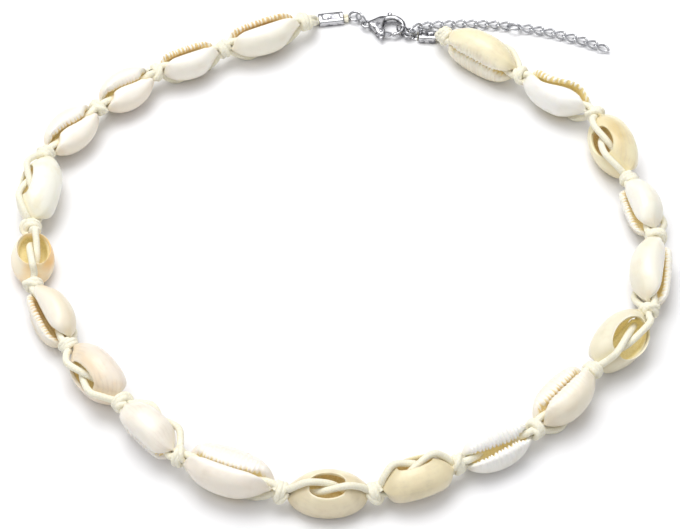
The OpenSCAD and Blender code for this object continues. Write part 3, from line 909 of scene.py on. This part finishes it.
def make_chain(finish):
    """Oval links, each twisted to lie like the next. The eleventh is a round ring, the last pointed."""
    bm = bmesh.new()
    oval = link_path(LINK_INNER_L, LINK_INNER_W, LINK_WIRE)
    pointed = link_path(LINK_INNER_L, LINK_INNER_W, LINK_WIRE, LAST_TAPER)
    for at, roll, slope, heading in RING_LINKS:
        put = frame_at(at, ("Z", heading), ("Y", slope), ("X", roll))
        closed_wire(bm, put, oval, LINK_WIRE, 28)
    p = CHAIN_FROM
    for n in range(LINK_COUNT - len(RING_LINKS)):
        heading = CHAIN_HEADING - LINK_BEND * n
        number = n + len(RING_LINKS)
        if number == ROUND_LINK:
            z = ROUND_LINK_R * math.sin(math.radians(ROUND_LINK_ROLL)) + LINK_WIRE / 2
            put = frame_at((p.x, p.y, z), ("Z", heading), ("X", -ROUND_LINK_ROLL))
            closed_wire(bm, put, circle_path(ROUND_LINK_R), LINK_WIRE, 32)
        else:
            put = twisted(frame_at((p.x, p.y, LINK_REST_Z), ("Z", heading)), LINK_INNER_L, LINK_ROLL)
            closed_wire(bm, put, pointed if number == LINK_COUNT - 1 else oval, LINK_WIRE, 28)
        p = p + LINK_PITCH * heading_of(heading - LINK_BEND / 2)
    finished(bm, "extension_links", finish, "necklace", "extension_chain", slot="metal")


# Finishes
GOLD_LIGHT = (242, 230, 186)
GOLD_OLIVE = (206, 190, 128)
GOLD_TAN = (204, 162, 100)
GROWTH_LINE = (206, 190, 176)
WHITE_LIP = (253, 250, 245)
COTTON = ((0.2, (243, 235, 206)), (0.5, (250, 245, 223)), (0.8, (253, 250, 235)))
PLIES_PER_CM = 15
SILVER = (196, 196, 198)
CHAIN_SILVER = (206, 207, 210)
# Colour of the painted dark reflection on the plated metal
PAINTED_DARK_REFLECTION = (92, 92, 98)


def cowrie_finish(name, k):
    """Bleached cowrie: glossy body, tan ends, tan painted as shade towards the floor, and gold inside and
    between the teeth with a painted glow.
    """
    coat = COATS[k]
    deep = tuple(mix(a, b, coat.tan) for a, b in zip(tint(GOLD_OLIVE), tint(GOLD_TAN)))
    f = Finish(name)
    gold, lip, end = f.attribute("marks")
    place = f.coords()
    height = f.parts(place)[2]
    cloud = f.noise(place, 0.25 + 0.02 * (k % 5), 3)
    speck = f.noise(place, 2.4, 2)
    # Painted shade: towards the floor the shell turns half way to its tan; clouds, ends and stain add
    # more tan
    low = 1 - f.step(height, 0.8, 5.5)
    stain = f.step(lip * -1, 0.1, 0.8)
    shaded = low * 0.5 + f.step(cloud, 0.45, 0.75) * 0.25 + end * 0.25 + stain
    base = f.mix(tint(coat.body), tint(coat.under), shaded)
    row = f.uv("wrap")[1]
    ring = f.step((row * 150 + cloud * 9).sine(), 0.2, 1.0) * f.step(cloud, 0.42, 0.6) * (1 - lip)
    base = f.mix(base, tint(GROWTH_LINE), ring * (0.45 * coat.lines))
    base = f.mix(base, tint(WHITE_LIP), lip * 0.5)
    mottle = f.step(speck * 0.5 + cloud * 0.5, 0.35, 0.65)
    base = f.mix(base, f.mix(tint(GOLD_LIGHT), deep, mottle * 0.5 + 0.4), gold)
    f.set(Base_Color=base, Roughness=0.3 + speck * 0.1 + gold * 0.2, Coat_Weight=0.35 - gold * 0.3)
    f.set(Coat_Roughness=0.2, Subsurface_Weight=0.25, Subsurface_Radius=(0.0018, 0.0015, 0.0011))
    f.set(Subsurface_Scale=0.8, Specular_IOR_Level=0.4)
    # Painted light: the gold glows a little, more where it is less tan, to brighten the shade inside the
    # slit
    painted_gold_glow = f.mix((0, 0, 0), tint(GOLD_OLIVE), gold)
    f.set(Emission_Color=painted_gold_glow, Emission_Strength=0.26 - 0.14 * coat.tan)
    f.set(Normal=f.bump(cloud * 0.6 + speck * 0.12 - ring * (0.25 * coat.lines), 0.0002, 0.5))
    return f


def cotton_finish():
    """Pale waxed cotton: fine braided plies with a little fluff."""
    f = Finish("waxed_cotton")
    turn, run = f.uv("cord")
    right = ((run * PLIES_PER_CM + turn * 3) * (2 * math.pi)).sine()
    left = ((run * PLIES_PER_CM - turn * 3) * (2 * math.pi)).sine()
    fibre = f.noise(f.coords(), 4.0, 4, 0.6)
    relief = right * 0.05 + left * 0.04 + fibre
    shade = f.ramp(relief, *((at, tint(colour)) for at, colour in COTTON))
    f.set(Base_Color=shade, Roughness=0.6 + fibre * 0.2, Normal=f.bump(relief, 0.00025, 0.6))
    f.set(Subsurface_Weight=0.15, Subsurface_Radius=(0.001, 0.0009, 0.0006), Subsurface_Scale=0.5)
    f.set(Specular_IOR_Level=0.25, Sheen_Weight=0.15)
    return f


def plated_finish(name, colour, rough, dark):
    """Bright plated metal with fine scratches, smudges in its roughness, and dark patches of painted
    reflection.
    """
    f = Finish(name)
    smudge_and_dark_reflection = f.noise(f.coords(), 0.8, 2)
    scratch = f.noise(f.coords((900, 9000, 2500), (0.2, 0.1, 0.5)), 1.0, 4, 0.7)
    # Painted reflection: dark patches, as strong as dark sets, stand in for dark surroundings mirrored in
    # the metal
    f.set(Base_Color=f.mix(tint(colour), tint(PAINTED_DARK_REFLECTION), f.step(smudge_and_dark_reflection, 0.46, 0.6) * dark))
    f.set(Metallic=1.0, Roughness=smudge_and_dark_reflection * 0.14 + scratch * 0.08 + rough)
    f.set(Normal=f.bump(scratch + smudge_and_dark_reflection, 0.00003, 0.5))
    return f


# Floor, light and camera. The floor and the lights are in metres, the camera's aim and distance in
# millimetres. The surroundings: height from 0 at the horizon to 1 overhead, and brightness
FLOOR_SIZE = 3
FLOOR_PALE = (0.92, 0.92, 0.93)
SURROUNDINGS = ((0.25, 0.05), (0.72, 1.0))
SURROUNDINGS_TINT = (0.98, 0.98, 1.0)
SURROUNDINGS_STRENGTH = 0.85
CAMERA_UP = 52
CAMERA_AIM = Vector((-0.509, -6.920, 0))
CAMERA_FAR = 534.9
LENS = 127.06


def add_stage():
    bm = bmesh.new()
    bmesh.ops.create_grid(bm, x_segments=1, y_segments=1, size=FLOOR_SIZE)
    mesh = bpy.data.meshes.new("floor")
    bm.to_mesh(mesh)
    bm.free()
    floor = bpy.data.objects.new("floor", mesh)
    bpy.context.scene.collection.objects.link(floor)
    f = Finish("pale_floor")
    f.set(Base_Color=FLOOR_PALE, Roughness=0.9)
    mesh.materials.append(f.material)


def add_light(name, at, size, watts):
    data = bpy.data.lights.new(name, "AREA")
    data.shape = "DISK"
    data.size, data.energy = size, watts
    lamp = bpy.data.objects.new(name, data)
    lamp.location = at
    lamp.rotation_euler = (-Vector(at)).to_track_quat("-Z", "Y").to_euler()
    bpy.context.scene.collection.objects.link(lamp)


def add_world():
    """Bright overhead, dimmer towards the horizon, so that the metal has something dark to mirror."""
    world = bpy.data.worlds.new("studio")
    world.use_nodes = True
    nodes, links = world.node_tree.nodes, world.node_tree.links
    place = nodes.new("ShaderNodeTexCoord")
    split = nodes.new("ShaderNodeSeparateXYZ")
    ramp = nodes.new("ShaderNodeValToRGB")
    for element, (at, grey) in zip(ramp.color_ramp.elements, SURROUNDINGS):
        element.position = at
        element.color = (*(grey * channel for channel in SURROUNDINGS_TINT), 1)
    links.new(place.outputs["Generated"], split.inputs[0])
    links.new(split.outputs[2], ramp.inputs[0])
    links.new(ramp.outputs[0], nodes["Background"].inputs[0])
    nodes["Background"].inputs[1].default_value = SURROUNDINGS_STRENGTH
    bpy.context.scene.world = world


def add_camera():
    """The photograph's view: from the front, 52 degrees above the floor."""
    data = bpy.data.cameras.new("view")
    data.sensor_width, data.lens = 36, LENS
    data.clip_start, data.clip_end = 0.01, 10
    camera = bpy.data.objects.new("view", data)
    bpy.context.scene.collection.objects.link(camera)
    up = math.radians(CAMERA_UP)
    back = Vector((0, -math.cos(up), math.sin(up)))
    camera.location = (CAMERA_AIM - CENTRE + back * CAMERA_FAR) * MM
    camera.rotation_euler = (-back).to_track_quat("-Z", "Y").to_euler()
    bpy.context.scene.camera = camera


add_camera()
add_stage()
add_world()
add_light("key", at=(-0.12, 0.32, 0.92), size=0.75, watts=6.0)
add_light("fill", at=(-0.5, -0.1, 0.75), size=0.7, watts=0.9)
bpy.context.scene.view_settings.view_transform = "Standard"

rows, columns = ((46, 190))
for k in range(SHELL_COUNT):
    make_shell(k, rows, columns)
cotton = cotton_finish()
for k in range(SHELL_COUNT + 1):
    make_knot(k, cotton)
make_strand(1, "strand_a", cotton)
make_strand(-1, "strand_b", cotton)
silver = plated_finish("bright_plating", SILVER, rough=0.08, dark=0.75)
chain_silver = plated_finish("chain_plating", CHAIN_SILVER, rough=0.16, dark=0.3)
for side in CRIMPS:
    make_crimp(side, silver)
make_jump_ring("left", chain_silver, at=(4.57, 66.76), heading=-45, radius=1.55)
make_jump_ring("right", silver, at=(14.57, 62.94), heading=-32.3, radius=1.6)
make_clasp(silver)
make_lever(silver)
make_chain(chain_silver)
